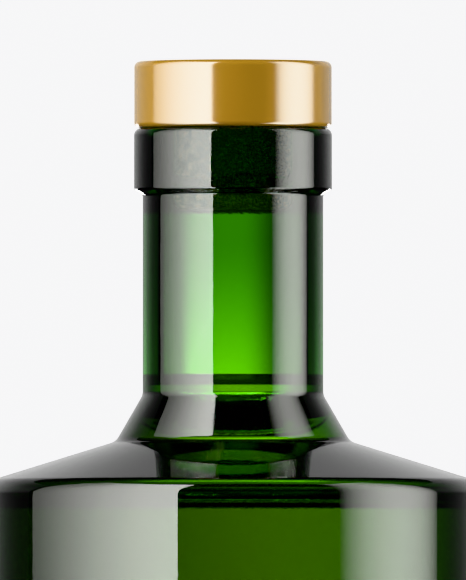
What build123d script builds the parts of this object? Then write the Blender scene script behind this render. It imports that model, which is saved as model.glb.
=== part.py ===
"""Green glass oil bottle with a gold-capped cork stopper, half a litre, with the oil in it.

Millimetres, +Z up. The origin is the centre of the base, on the plane that the bottle stands on.
Every piece is turned about Z: the bottle is round, and the stopper sits on the same axis.
"""

import math
import os

from build123d import *

# Glass, outside. An edge is the sharp corner that a rounding is later put on.
body_radius = 41.6
shoulder_edge_z = 115.4
shoulder_rounding = 2.8
collar_radius = 19.7  # the crease where the shoulder turns up into the cone
collar_z = 122.2
collar_rounding = 2.35
neck_radius = 15.2
neck_foot_z = 130.0
neck_foot_rounding = 1.9
glass_height = 174.8

# The ring around the mouth, which steps out from the neck in a shallow S
ring_radius = 16.65
ring_step_z = 164.0
ring_step_slope = 0.7  # height between the two edges of the step
ring_step_rounding = 0.6
ring_top_rounding = 1.18

# Glass, inside
wall = 3.4
mouth_radius = 9.95
mouth_depth = 8.2
mouth_rounding = 0.5
mouth_taper = 2.6  # height over which the narrow mouth opens out into the neck
mouth_taper_rounding = 1.5
inner_neck_foot_rounding = 2.5
inner_collar_rounding = 4.0
inner_shoulder_rounding = 2.7
inner_heel_rounding = 7.0

# Base: the bottle stands on a flat ring around a shallow punt. The punt and the floor above it are
# domes: a straight slope, bent level at a crown by a rounding that reaches to the axis.
heel_rounding = 5.0
punt_radius = 31.0
punt_height = 5.0
punt_rounding = 1.5
punt_crown_radius = 15.5
floor_z = 11.0  # top of the glass floor, on the axis
floor_edge_z = 4.8
floor_crown_radius = 13.0

# Oil
oil_z = 131.6
oil_gap = 0.05
meniscus_height = 1.9
meniscus_reach = 1.7  # how far from the glass it starts to climb
meniscus_rounding = 2.6

# Stopper: an aluminium cap spun over a moulded core, with the cork glued into the core
seat_gap = 0.05
cap_radius = 16.6
cap_top_z = 186.0
cap_sheet = 0.45
cap_top_rounding = 1.0
cap_bottom_rounding = 0.84
cap_lip_radius = 14.9  # inner edge of the rim that is turned in under the core
core_gap = 0.02
cork_radius = 9.9
cork_bottom_z = 161.2
cork_chamfer = 0.8
socket_depth = 4.0
glue_thickness = 0.2


def turned(corners):
    """The solid turned about Z from an outline of (radius, height, rounding) corners.

    They run from the axis at the top, down the outside, to the axis at the bottom.
    """
    points = [(radius, height) for radius, height, _ in corners]
    outline = make_face(Polyline(*points, close=True)).face()
    for radius, height, rounding in corners:
        if rounding:
            corner = outline.vertices().sort_by_distance((radius, height))[0]
            outline = outline.fillet_2d(rounding, [corner])
    return revolve(Plane.XZ * outline, Axis.Z)


def inside_corner(above, corner, below, thickness):
    """Where two walls meet on the inside, when the outline runs above, corner, below on the outside."""
    normals = []
    for start, end in ((above, corner), (corner, below)):
        run = (Vector(*end) - Vector(*start)).normalized()
        normals.append(Vector(run.Y, -run.X))
    inward = (normals[0] + normals[1]) * (thickness / (1 + normals[0].dot(normals[1])))
    return corner[0] + inward.X, corner[1] + inward.Y


def dome(crown_radius, crown_z, edge_radius, edge_z):
    """The last two corners of an underside that slopes up from its edge and levels out at a crown."""
    slope = math.atan2(crown_z - edge_z, edge_radius - crown_radius)
    reach = 0.99 * crown_radius  # of the crown's rounding, towards the axis and down the slope
    return [(crown_radius, crown_z, reach / math.tan(slope / 2)), (0, crown_z, 0)]


mouth = (neck_radius, glass_height)
neck_foot = (neck_radius, neck_foot_z)
collar = (collar_radius, collar_z)
shoulder = (body_radius, shoulder_edge_z)
heel = (body_radius, 0)


def cavity(clearance, top_corners):
    """The space inside the bottle below top_corners, held off the glass all round by clearance."""
    depth = wall + clearance
    edge = (body_radius - depth, floor_edge_z + clearance)
    return turned(
        [
            *top_corners,
            (*inside_corner(mouth, neck_foot, collar, depth), inner_neck_foot_rounding),
            (*inside_corner(neck_foot, collar, shoulder, depth), inner_collar_rounding),
            (*inside_corner(collar, shoulder, heel, depth), inner_shoulder_rounding),
            (*edge, inner_heel_rounding),
            *dome(floor_crown_radius, floor_z + clearance, *edge),
        ]
    )


def bottle_glass():
    """The moulded glass: ring, neck, cone, sloping shoulder, straight body and punted base."""
    outside = turned(
        [
            (0, glass_height, 0),
            (ring_radius, glass_height, ring_top_rounding),
            (ring_radius, ring_step_z + ring_step_slope / 2, ring_step_rounding),
            (neck_radius, ring_step_z - ring_step_slope / 2, ring_step_rounding),
            (*neck_foot, neck_foot_rounding),
            (*collar, collar_rounding),
            (*shoulder, shoulder_rounding),
            (*heel, heel_rounding),
            (punt_radius, 0, punt_rounding),
            *dome(punt_crown_radius, punt_height, punt_radius, 0),
        ]
    )
    neck_bore_radius = neck_radius - wall
    taper_top_z = glass_height - mouth_depth
    inside = cavity(
        0,
        [
            (0, glass_height, 0),
            (mouth_radius, glass_height, 0),
            (mouth_radius, taper_top_z, mouth_taper_rounding),
            (neck_bore_radius, taper_top_z - mouth_taper, mouth_taper_rounding),
        ],
    )
    glass = outside - inside
    lip = glass.edges().filter_by(GeomType.CIRCLE).group_by(Axis.Z)[-1].sort_by(SortBy.RADIUS)[0]
    return fillet(lip, mouth_rounding)


def oil_fill():
    """The oil, up to just above the foot of the neck, creeping up the glass in a meniscus."""
    rim = neck_radius - wall - oil_gap
    return cavity(
        oil_gap,
        [
            (0, oil_z, 0),
            (rim - meniscus_reach, oil_z, meniscus_rounding),
            (rim, oil_z + meniscus_height, 0),
        ],
    )


cap_bottom_z = glass_height + seat_gap
socket_roof_z = cap_bottom_z + socket_depth


def cap_shell():
    """The aluminium cap: a flat-topped cup whose rim is turned in under the core."""
    core_radius = cap_radius - cap_sheet
    outside = turned(
        [
            (0, cap_top_z, 0),
            (cap_radius, cap_top_z, cap_top_rounding),
            (cap_radius, cap_bottom_z, cap_bottom_rounding),
            (0, cap_bottom_z, 0),
        ]
    )
    inside = turned(
        [
            (0, cap_top_z - cap_sheet, 0),
            (core_radius, cap_top_z - cap_sheet, cap_top_rounding - cap_sheet),
            (core_radius, cap_bottom_z + cap_sheet, cap_bottom_rounding - cap_sheet),
            (cap_lip_radius, cap_bottom_z + cap_sheet, 0),
            (cap_lip_radius, cap_bottom_z, 0),
            (0, cap_bottom_z, 0),
        ]
    )
    return outside - inside


def cap_core():
    """The moulded core that fills the cap, with a socket in its underside for the cork."""
    core_radius = cap_radius - cap_sheet - core_gap
    core_top_z = cap_top_z - cap_sheet - core_gap
    flange_z = cap_bottom_z + cap_sheet + core_gap
    boss_radius = cap_lip_radius - core_gap
    body = turned(
        [
            (0, core_top_z, 0),
            (core_radius, core_top_z, cap_top_rounding - cap_sheet),
            (core_radius, flange_z, cap_bottom_rounding - cap_sheet),
            (boss_radius, flange_z, 0),
            (boss_radius, cap_bottom_z, 0),
            (0, cap_bottom_z, 0),
        ]
    )
    socket = turned(
        [
            (0, socket_roof_z, 0),
            (cork_radius + core_gap, socket_roof_z, 0),
            (cork_radius + core_gap, cap_bottom_z, 0),
            (0, cap_bottom_z, 0),
        ]
    )
    return body - socket


def cork_shank():
    """The agglomerated cork plug, from the bottom of the socket down into the mouth."""
    top_z = socket_roof_z - glue_thickness
    plug = turned(
        [
            (0, top_z, 0),
            (cork_radius, top_z, 0),
            (cork_radius, cork_bottom_z, 0),
            (0, cork_bottom_z, 0),
        ]
    )
    return chamfer(plug.edges().filter_by(GeomType.CIRCLE), cork_chamfer)


def cork_glue():
    """The disc of hot glue between the top of the cork and the roof of its socket."""
    thickness = glue_thickness - 2 * core_gap
    middle_z = socket_roof_z - glue_thickness / 2
    return Pos(0, 0, middle_z) * Cylinder(cork_radius - cork_chamfer, thickness)


os.makedirs("parts", exist_ok=True)
for piece in (bottle_glass, oil_fill, cap_shell, cap_core, cork_shank, cork_glue):
    export_step(piece(), f"parts/{piece.__name__}.step")
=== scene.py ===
"""Looks of the green glass oil bottle with its gold-capped cork stopper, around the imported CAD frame.

Outlines are in millimetres, as in the CAD part, with the bottle's axis on Z and its foot at zero.
"""
import cmath
import math

import bpy
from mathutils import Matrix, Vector


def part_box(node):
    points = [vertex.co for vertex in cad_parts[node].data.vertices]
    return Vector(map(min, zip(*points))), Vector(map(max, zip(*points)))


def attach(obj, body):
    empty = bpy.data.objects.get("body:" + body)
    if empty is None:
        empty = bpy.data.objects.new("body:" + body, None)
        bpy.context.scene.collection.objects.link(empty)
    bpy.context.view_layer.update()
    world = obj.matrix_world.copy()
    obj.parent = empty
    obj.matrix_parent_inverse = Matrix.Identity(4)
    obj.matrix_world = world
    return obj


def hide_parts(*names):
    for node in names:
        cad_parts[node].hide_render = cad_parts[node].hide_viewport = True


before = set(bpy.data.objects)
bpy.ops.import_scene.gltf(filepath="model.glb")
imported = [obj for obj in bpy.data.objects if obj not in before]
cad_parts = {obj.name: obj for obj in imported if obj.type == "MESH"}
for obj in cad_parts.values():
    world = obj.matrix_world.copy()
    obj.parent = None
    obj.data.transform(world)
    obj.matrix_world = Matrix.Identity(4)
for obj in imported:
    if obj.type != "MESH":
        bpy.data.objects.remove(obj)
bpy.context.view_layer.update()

scene = bpy.context.scene
MM = 0.001


# ---- Dimensions, in millimetres

body_radius = 41.6
shoulder_edge_z = 115.4
shoulder_rounding = 2.8
collar_radius = 19.7
collar_z = 122.2
collar_rounding = 2.35
neck_radius = 15.2
neck_foot_z = 130.0
neck_foot_rounding = 1.9
glass_height = 174.8
ring_radius = 16.65
ring_step_z = 164.0
ring_step_slope = 0.7
ring_step_rounding = 0.6
ring_top_rounding = 1.18

wall = 3.4
mouth_radius = 9.95
mouth_depth = 8.2
mouth_rounding = 0.5
mouth_taper = 2.6
mouth_taper_rounding = 1.5
inner_neck_foot_rounding = 2.5
inner_collar_rounding = 4.0
inner_shoulder_rounding = 2.7
inner_heel_rounding = 7.0
heel_rounding = 5.0
punt_radius = 31.0
punt_height = 5.0
punt_rounding = 1.5
punt_crown_radius = 15.5
floor_z = 11.0
floor_edge_z = 4.8
floor_crown_radius = 13.0

oil_z = 131.6
meniscus_height = 1.9
meniscus_reach = 1.7
meniscus_rounding = 2.6
oil_overlap = 0.06  # how far the oil's sides stand in the glass, so that no air shows between the two

cap_radius = 16.6
cap_sheet = 0.45
cap_top_rounding = 1.0
cap_bottom_rounding = 0.84
cap_lip_radius = 14.9
core_gap = 0.02
cork_radius = 9.9
cork_chamfer = 0.8

cap_low, cap_high = (corner.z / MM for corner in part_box("cap_shell"))
core_low, core_high = (corner.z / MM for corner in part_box("cap_core"))
cork_low, cork_high = (corner.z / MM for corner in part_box("cork_shank"))
glue_low, glue_high = (corner.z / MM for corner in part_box("cork_glue"))
socket_roof_z = glue_high + core_gap


# ---- Turned meshes

segments = 192
arc_step = math.radians(7)
least_rounding = 0.05  # given to a corner that has none, so that every normal is smooth


def rounded(corners):
    """Points and normals, as complex numbers, along an outline of (radius, height, rounding) corners.

    The outline keeps the solid on its left, so its normals point to its right.
    """
    spots = [complex(radius, height) for radius, height, _ in corners]
    runs = [(end - start) / abs(end - start) for start, end in zip(spots, spots[1:])]
    outline = [(spots[0], -1j * runs[0])]
    for (_, _, rounding), spot, run, next_run in zip(corners[1:], spots[1:], runs, runs[1:]):
        turn = cmath.phase(next_run / run)
        rounding = rounding or least_rounding
        start = spot - run * rounding * math.tan(abs(turn) / 2)
        to_centre = 1j * math.copysign(rounding, turn)
        centre = start + to_centre * run
        pieces = max(2, math.ceil(abs(turn) / arc_step))
        for piece in range(pieces + 1):
            direction = run * cmath.rect(1, turn * piece / pieces)
            outline.append((centre - to_centre * direction, -1j * direction))
    outline.append((spots[-1], -1j * runs[-1]))
    return outline


def turned(name, corners):
    """A closed mesh turned about Z from an outline that starts and ends on the axis, or closes on itself."""
    points, normals, rings = [], [], []
    for spot, normal in rounded(corners):
        on_axis = spot.real < 1e-6
        ring = []
        for segment in range(1 if on_axis else segments):
            angle = math.tau * segment / segments
            across = Vector((math.cos(angle), math.sin(angle), 0))
            ring.append(len(points))
            points.append((across * spot.real + Vector((0, 0, spot.imag))) * MM)
            normals.append(Vector((0, 0, 1)) if on_axis else across * normal.real)
            normals[-1] = Vector((normals[-1].x, normals[-1].y, normal.imag)).normalized()
        rings.append(ring)
    faces = []
    for low, high in zip(rings, rings[1:]):
        for segment in range(segments):
            after = segment + 1
            corners_of_face = [
                low[segment % len(low)], low[after % len(low)],
                high[after % len(high)], high[segment % len(high)],
            ]
            faces.append(list(dict.fromkeys(corners_of_face)))
    mesh = bpy.data.meshes.new(name)
    mesh.from_pydata(points, [], faces)
    mesh.shade_smooth()
    mesh.normals_split_custom_set_from_vertices(normals)
    made = bpy.data.objects.new(name, mesh)
    scene.collection.objects.link(made)
    return made


def inside_corner(above, corner, below, thickness):
    """Where two walls meet on the inside, when the outline runs above, corner, below on the outside."""
    above, corner, below = (complex(*spot) for spot in (above, corner, below))
    inward = [-1j * (end - start) / abs(end - start) for start, end in ((above, corner), (corner, below))]
    both = inward[0] + inward[1]
    met = corner + both * 2 * thickness / abs(both) ** 2
    return met.real, met.imag


def dome(crown_radius, crown_z, edge_radius, edge_z):
    """The last two corners of an underside that slopes up from its edge and levels out at a crown."""
    slope = math.atan2(crown_z - edge_z, edge_radius - crown_radius)
    reach = 0.99 * crown_radius
    return [(crown_radius, crown_z, reach / math.tan(slope / 2)), (0, crown_z, 0)]


# ---- Node materials


def plain_material(name, **values):
    """A Principled material. Each value is set on the shader's own socket, named in words_like_this."""
    made = bpy.data.materials.new(name)
    made.use_nodes = True
    shader = made.node_tree.nodes["Principled BSDF"]
    for socket, value in values.items():
        shader.inputs[socket.replace("_", " ")].default_value = value
    return made, made.node_tree, shader


def add_node(tree, kind, inputs=None, **settings):
    """A new node with its settings, and its inputs set to values or linked to other nodes' outputs."""
    made = tree.nodes.new(kind)
    for setting, value in settings.items():
        setattr(made, setting, value)
    for socket, value in (inputs or {}).items():
        if isinstance(value, bpy.types.NodeSocket):
            tree.links.new(value, made.inputs[socket])
        else:
            made.inputs[socket].default_value = value
    return made


def object_noise(tree, size, detail=2.0, stretch=(1, 1, 1)):
    """The height of a noise whose grains are about size millimetres across, on the object itself."""
    place = add_node(tree, "ShaderNodeTexCoord").outputs["Object"]
    place = add_node(tree, "ShaderNodeMapping", {"Vector": place, "Scale": stretch}).outputs["Vector"]
    noise = {"Vector": place, "Scale": 1 / (size * MM), "Detail": detail}
    return add_node(tree, "ShaderNodeTexNoise", noise).outputs["Fac"]


def add_bump(tree, shader, height, depth):
    """Bump by height, from 0 to 1, over a depth in millimetres."""
    bump = {"Height": height, "Distance": depth * MM, "Strength": 1.0}
    tree.links.new(add_node(tree, "ShaderNodeBump", bump).outputs["Normal"], shader.inputs["Normal"])


def add_absorption(tree, per_mm):
    """Fills the material with a plain absorption, per_mm for red, green and blue."""
    density = max(per_mm)
    colour = [1 - share / density for share in per_mm]
    inputs = {"Color": (*colour, 1), "Density": density / MM}
    absorption = add_node(tree, "ShaderNodeVolumeAbsorption", inputs)
    tree.links.new(absorption.outputs["Volume"], tree.nodes["Material Output"].inputs["Volume"])


def green_glass():
    made, tree, shader = plain_material(
        "green_glass", Base_Color=(1, 1, 1, 1), Transmission_Weight=1.0, Roughness=0.0, IOR=1.52
    )
    add_absorption(tree, (0.407, 0.118, 0.99))
    add_bump(tree, shader, object_noise(tree, 0.5), 0.002)
    return made


def oil():
    made, tree, _ = plain_material(
        "oil", Base_Color=(1, 1, 1, 1), Transmission_Weight=1.0, Roughness=0.0, IOR=1.47
    )
    add_absorption(tree, (0.0012, 0.010, 0.05))
    return made


def gold_aluminium():
    made, tree, shader = plain_material(
        "gold_aluminium", Base_Color=(0.35, 0.205, 0.033, 1), Metallic=1.0, Roughness=0.85,
        Coat_Weight=1.0, Coat_Roughness=0.14, Coat_IOR=2.1,
    )
    add_bump(tree, shader, object_noise(tree, 0.25), 0.004)
    return made


def cork():
    """Agglomerated cork: granules of many browns, their seams and pits darkened, partly as the cork's own
    dark gaps and partly as painted shade in these recesses.
    """
    made, tree, shader = plain_material("cork", Roughness=0.85)
    place = add_node(tree, "ShaderNodeTexCoord").outputs["Object"]
    granule = 0.9 * MM
    bend = 0.0011
    warp = add_node(tree, "ShaderNodeTexNoise", {"Vector": place, "Scale": 1 / granule, "Detail": 3.0})
    bent = add_node(
        tree, "ShaderNodeVectorMath", {0: warp.outputs["Color"], 1: (bend,) * 3}, operation="MULTIPLY"
    )
    bent = add_node(tree, "ShaderNodeVectorMath", {0: place, 1: bent.outputs["Vector"]}, operation="ADD")
    grain = {"Vector": bent.outputs["Vector"], "Scale": 1 / granule}
    granules = add_node(tree, "ShaderNodeTexVoronoi", grain)
    seams = add_node(tree, "ShaderNodeTexVoronoi", grain, feature="DISTANCE_TO_EDGE")
    shade = add_node(tree, "ShaderNodeSeparateColor", {"Color": granules.outputs["Color"]}).outputs["Red"]
    ramp = add_node(tree, "ShaderNodeValToRGB", {"Fac": shade})
    ramp.color_ramp.elements[0].color = (0.20, 0.095, 0.04, 1)
    ramp.color_ramp.elements[1].color = (0.62, 0.40, 0.21, 1)
    # Seams and pits are darkened in the colour: partly the cork's own dark gaps, partly painted shade in
    # these recesses, which the bump below also sinks.
    seam_darkening = add_node(tree, "ShaderNodeMapRange", {
        "Value": seams.outputs["Distance"],
        "From Min": 0.0, "From Max": 0.09, "To Min": 0.25, "To Max": 1.0,
    }).outputs["Result"]
    specks_and_pit_shade = add_node(tree, "ShaderNodeMapRange", {
        "Value": object_noise(tree, 0.32, 1.0),
        "From Min": 0.42, "From Max": 0.49, "To Min": 0.08, "To Max": 1.0,
    }).outputs["Result"]
    # lit_part is the share of colour left after the dark gaps and the painted shade in seams and pits.
    lit_part = add_node(tree, "ShaderNodeMath", {0: seam_darkening, 1: specks_and_pit_shade}, operation="MULTIPLY")
    lit_part = lit_part.outputs["Value"]
    colour = add_node(
        tree, "ShaderNodeVectorMath", {0: ramp.outputs["Color"], "Scale": lit_part}, operation="SCALE"
    ).outputs["Vector"]
    tree.links.new(colour, shader.inputs["Base Color"])
    add_bump(tree, shader, lit_part, 0.15)
    return made


def core_plastic():
    made, tree, shader = plain_material("core_plastic", Base_Color=(0.03, 0.03, 0.028, 1), Roughness=0.45)
    add_bump(tree, shader, object_noise(tree, 0.3), 0.01)
    return made


def glue():
    made, tree, shader = plain_material("glue", Base_Color=(0.8, 0.74, 0.6, 1), Roughness=0.3)
    add_bump(tree, shader, object_noise(tree, 2.0), 0.05)
    return made


# ---- The bottle and its stopper

mouth = (neck_radius, glass_height)
neck_foot = (neck_radius, neck_foot_z)
collar = (collar_radius, collar_z)
shoulder = (body_radius, shoulder_edge_z)
heel = (body_radius, 0)


def glass_inside(clearance):
    """The corners of the inside of the glass from the foot of the neck down, moved in by clearance."""
    depth = wall + clearance
    edge = (body_radius - depth, floor_edge_z + clearance)
    return [
        (*inside_corner(mouth, neck_foot, collar, depth), inner_neck_foot_rounding),
        (*inside_corner(neck_foot, collar, shoulder, depth), inner_collar_rounding),
        (*inside_corner(collar, shoulder, heel, depth), inner_shoulder_rounding),
        (*edge, inner_heel_rounding),
        *dome(floor_crown_radius, floor_z + clearance, *edge),
    ]


def glass_piece():
    outside = [
        (ring_radius, glass_height, ring_top_rounding),
        (ring_radius, ring_step_z + ring_step_slope / 2, ring_step_rounding),
        (neck_radius, ring_step_z - ring_step_slope / 2, ring_step_rounding),
        (*neck_foot, neck_foot_rounding),
        (*collar, collar_rounding),
        (*shoulder, shoulder_rounding),
        (*heel, heel_rounding),
        (punt_radius, 0, punt_rounding),
        *dome(punt_crown_radius, punt_height, punt_radius, 0),
    ]
    inside = [
        (mouth_radius, glass_height, mouth_rounding),
        (mouth_radius, glass_height - mouth_depth, mouth_taper_rounding),
        (neck_radius - wall, glass_height - mouth_depth - mouth_taper, mouth_taper_rounding),
        *glass_inside(0),
    ]
    return turned("glass", [*reversed(outside), *inside])


def oil_piece():
    rim = neck_radius - wall + oil_overlap
    outside = [(rim, oil_z + meniscus_height, 0), *glass_inside(-oil_overlap)]
    top = [(rim - meniscus_reach, oil_z, meniscus_rounding), (0, oil_z, 0)]
    return turned("oil", [*reversed(outside), *top])


def cap_piece():
    inner_radius = cap_radius - cap_sheet
    return turned("cap", [
        (0, cap_high - cap_sheet, 0),
        (inner_radius, cap_high - cap_sheet, cap_top_rounding - cap_sheet),
        (inner_radius, cap_low + cap_sheet, cap_bottom_rounding - cap_sheet),
        (cap_lip_radius, cap_low + cap_sheet, 0),
        (cap_lip_radius, cap_low, 0),
        (cap_radius, cap_low, cap_bottom_rounding),
        (cap_radius, cap_high, cap_top_rounding),
        (0, cap_high, 0),
    ])


def core_piece():
    outer_radius = cap_radius - cap_sheet - core_gap
    flange_z = core_low + cap_sheet + core_gap
    boss_radius = cap_lip_radius - core_gap
    socket_radius = cork_radius + core_gap
    return turned("core", [
        (0, socket_roof_z, 0),
        (socket_radius, socket_roof_z, 0),
        (socket_radius, core_low, 0),
        (boss_radius, core_low, 0),
        (boss_radius, flange_z, 0),
        (outer_radius, flange_z, cap_bottom_rounding - cap_sheet),
        (outer_radius, core_high, cap_top_rounding - cap_sheet),
        (0, core_high, 0),
    ])


def cork_piece():
    return turned("cork", [
        (0, cork_low, 0),
        (cork_radius - cork_chamfer, cork_low, 0),
        (cork_radius, cork_low + cork_chamfer, 0),
        (cork_radius, cork_high - cork_chamfer, 0),
        (cork_radius - cork_chamfer, cork_high, 0),
        (0, cork_high, 0),
    ])


def glue_piece():
    radius = cork_radius - cork_chamfer
    return turned("glue", [
        (0, glue_low, 0), (radius, glue_low, 0), (radius, glue_high, 0), (0, glue_high, 0),
    ])


for build_piece, material, body, node, slot in (
    (glass_piece, green_glass, "bottle", "bottle_glass", "green_glass"),
    (oil_piece, oil, "bottle", "oil_fill", "oil"),
    (cap_piece, gold_aluminium, "stopper", "cap_shell", "gold_aluminium"),
    (core_piece, core_plastic, "stopper", "cap_core", "core_plastic"),
    (cork_piece, cork, "stopper", "cork_shank", "cork"),
    (glue_piece, glue, "stopper", "cork_glue", "glue"),
):
    piece = build_piece()
    piece.data.materials.append(material())
    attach(piece, body)
    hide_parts(node)


# ---- The studio: a pale floor, and cards of light that only some kinds of ray can see
#
# The cards' places and levels are fitted to the look from the front. They aren't a studio that could be
# built: some reach below the floor, and one stands close round the neck.

studio_radius = 1.4
neck_card_radius = 0.065


def emission_material(name, lights_cork):
    """Glows with the colour that each point of the mesh carries, and lights the cork in the glass or not."""
    made = bpy.data.materials.new(name)
    made.use_nodes = True
    tree = made.node_tree
    tree.nodes.remove(tree.nodes["Principled BSDF"])
    glow = add_node(tree, "ShaderNodeAttribute", attribute_name="glow").outputs["Color"]
    emission = add_node(tree, "ShaderNodeEmission", {"Color": glow})
    if not lights_cork:
        bounces = add_node(tree, "ShaderNodeLightPath").outputs["Diffuse Depth"]
        strength = {0: bounces, 1: 0.5}
        strength = add_node(tree, "ShaderNodeMath", strength, operation="LESS_THAN").outputs["Value"]
        tree.links.new(strength, emission.inputs["Strength"])
    tree.links.new(emission.outputs["Emission"], tree.nodes["Material Output"].inputs["Surface"])
    return made


def arc_card(name, azimuths, heights, distance, glow, seen_by):
    """A glowing sheet bent round the bottle's axis, which only some kinds of ray can see.

    Azimuths are in degrees from the side that faces the camera, positive to the right of it.
    glow gives red, green and blue for an azimuth and a height.
    """
    columns, rows = 96, 48
    points, colours = [], []
    for row in range(rows + 1):
        height = heights[0] + (heights[1] - heights[0]) * row / rows
        for column in range(columns + 1):
            azimuth = azimuths[0] + (azimuths[1] - azimuths[0]) * column / columns
            angle = math.radians(azimuth)
            points.append((distance * math.sin(angle), -distance * math.cos(angle), height))
            colours.extend((*glow(azimuth, height), 1))
    faces = [
        [row * (columns + 1) + column + step for step in (0, 1, columns + 2, columns + 1)]
        for row in range(rows)
        for column in range(columns)
    ]
    mesh = bpy.data.meshes.new(name)
    mesh.from_pydata(points, [], faces)
    mesh.attributes.new("glow", "FLOAT_COLOR", "POINT").data.foreach_set("color", colours)
    mesh.materials.append(emission_material(name, "diffuse" in seen_by))
    made = bpy.data.objects.new(name, mesh)
    scene.collection.objects.link(made)
    made.visible_camera = False
    made.visible_shadow = False
    made.visible_diffuse = "diffuse" in seen_by
    made.visible_glossy = "glossy" in seen_by
    made.visible_transmission = "transmission" in seen_by


white_level = 1.4  # behind the bottle
matt_level = 0.8  # on floor and bare cork
inside_level = 0.15  # on cork through the glass
mirrored_level = 0.05  # wherever there is no card


def ease(value, start, end):
    """Climbs smoothly from 0 to 1 while value goes from start to end."""
    part = min(1, max(0, (value - start) / (end - start)))
    return part * part * (3 - 2 * part)


def left_softbox(azimuth, height):
    level = 1.2 + 10.9 * math.cos(math.radians(-azimuth - 27)) ** 2
    return level, level * 1.015, level * 0.96


def right_softbox(azimuth, height):
    climb = ease(height, 0.2, 2.3)
    level = 8.4 * max(0, 1 - ((azimuth - 80 - 3 * climb) / (31 - 5 * climb)) ** 2) * (1 - 0.5 * climb)
    return level, level * 1.015, level * 0.96


def backdrop(azimuth, height):
    """Behind the bottle, and fading round its sides and low down."""
    turn = abs(azimuth - 180)
    level = 0.18 + 0.32 * ease(turn, 70, 30) + 0.2 * ease(height, 0.1, 0.35) * ease(height, 1.0, 0.5)
    level *= 1 + 0.22 * ease(height, 0.12, 0.3)
    return level, level, level


def neck_glow(azimuth, height):
    """A tall patch of light, brighter and warmer toward its foot."""
    across = math.sin(math.radians(azimuth))
    climb = max(0, (157 - height / MM) / 22.5)
    level = 0.47 + climb ** 1.5
    patch = ease(across, -0.36, -0.2) * ease(across, 0.25, 0.03)
    outer = 0.2 - 0.15 * ease(abs(across), 0.45, 0.65)
    level *= 1.06 * (outer + 0.8 * patch * (1 - 0.15 * ease(across, -0.05, -0.14)))
    level *= 1 - 0.36 * ease(height, 0.1333, 0.132)
    return level * 1.1 * (0.47 + climb ** 1.5) ** 0.45, level, level


def body_glow(azimuth, height):
    """A broad pool of light behind and to the left of the body, and bands of it far below."""
    turn = azimuth - 195
    level = 0.5 * math.exp(-((turn / (30 if turn < 0 else 22)) ** 2))
    level *= (
        1.1 * ease(height, 0, 0.05)
        + 1.3 * ease(height, -0.18, -0.25) * ease(height, -0.6, -0.5)
        + 6 * ease(height, -0.37, -0.45) * ease(height, -0.61, -0.56) * ease(abs(azimuth - 180), 17, 10)
        + 1.1 * ease(height, -0.69, -0.73)
    )
    return level * 1.2, level, level


def low_glow(azimuth, height):
    """Low behind the bottle. It brightens the foot of the neck and the rounded edges of ring and cap."""
    level = 9 * ease(abs(azimuth - 180), 30, 20)
    return level, level, level


def front_glow(azimuth, height):
    """What shows through the glass from behind and from the sides."""
    level = 0.16 + 0.3 * ease(abs(azimuth), 75, 20)
    return level, level, level


outside_only = ("diffuse", "glossy")
arc_card("left_softbox", (-106.2, -25.3), (-2.2, 2.4), studio_radius, left_softbox, outside_only)
arc_card("right_softbox", (50, 109.3), (-2.2, 2.4), studio_radius, right_softbox, outside_only)
arc_card("backdrop", (109, 251), (0, 1.1), studio_radius, backdrop, ("glossy",))
arc_card("low_glow", (150, 210), (-0.14, 0.1), studio_radius, low_glow, ("glossy",))
arc_card("front_glow", (-110, 110), (-0.7, 0.3), studio_radius, front_glow, ("transmission",))
arc_card("neck_glow", (125, 235), (0.1295, 0.1615), neck_card_radius, neck_glow, ("transmission",))
arc_card("body_glow", (110, 250), (-0.75, 0.125), studio_radius, body_glow, ("transmission",))


def floor():
    half = 6.0
    mesh = bpy.data.meshes.new("floor")
    corners = [(-half, -half, 0), (half, -half, 0), (half, half, 0), (-half, half, 0)]
    mesh.from_pydata(corners, [], [[0, 1, 2, 3]])
    made = bpy.data.objects.new("floor", mesh)
    scene.collection.objects.link(made)
    material, _, _ = plain_material("floor", Base_Color=(0.82, 0.82, 0.83, 1), Roughness=0.9)
    mesh.materials.append(material)
    made.visible_glossy = made.visible_transmission = False


floor()


def studio_world():
    """White to the camera, softer on matt things, near dark to what mirrors, and black through the glass."""
    world = bpy.data.worlds.new("studio")
    scene.world = world
    world.use_nodes = True
    tree = world.node_tree
    tree.nodes.clear()
    path = add_node(tree, "ShaderNodeLightPath").outputs
    level = 0.0
    for rays, strength in (
        ("Is Reflection Ray", mirrored_level),
        ("Diffuse Depth", inside_level),
        ("Is Diffuse Ray", matt_level),
        ("Is Camera Ray", white_level),
    ):
        chosen = add_node(tree, "ShaderNodeMath", {0: path[rays], 1: 0.5}, operation="GREATER_THAN")
        blend = {"Factor": chosen.outputs["Value"], "A": level, "B": strength}
        mixed = add_node(tree, "ShaderNodeMix", blend)
        level = mixed.outputs["Result"]
    background = add_node(tree, "ShaderNodeBackground", {"Color": (1, 1, 1.01, 1), "Strength": level})
    add_node(tree, "ShaderNodeOutputWorld", {"Surface": background.outputs["Background"]})


studio_world()


# ---- Camera and colour

eye_z = 104
eye_distance = 3293
aim_below_top = 38.4
focal_length = 1217

camera_data = bpy.data.cameras.new("camera")
camera_data.lens = focal_length
camera_data.sensor_width = 36
camera_data.clip_start = 0.1
camera_data.clip_end = 100
camera = bpy.data.objects.new("camera", camera_data)
scene.collection.objects.link(camera)
camera.location = Vector((0, -eye_distance, eye_z)) * MM
aim = Vector((0, 0, cap_high - aim_below_top)) * MM
camera.rotation_euler = (aim - camera.location).to_track_quat("-Z", "Y").to_euler()
scene.camera = camera

scene.view_settings.view_transform = "Khronos PBR Neutral"
scene.cycles.max_bounces = 32
scene.cycles.glossy_bounces = 24
scene.cycles.transmission_bounces = 32
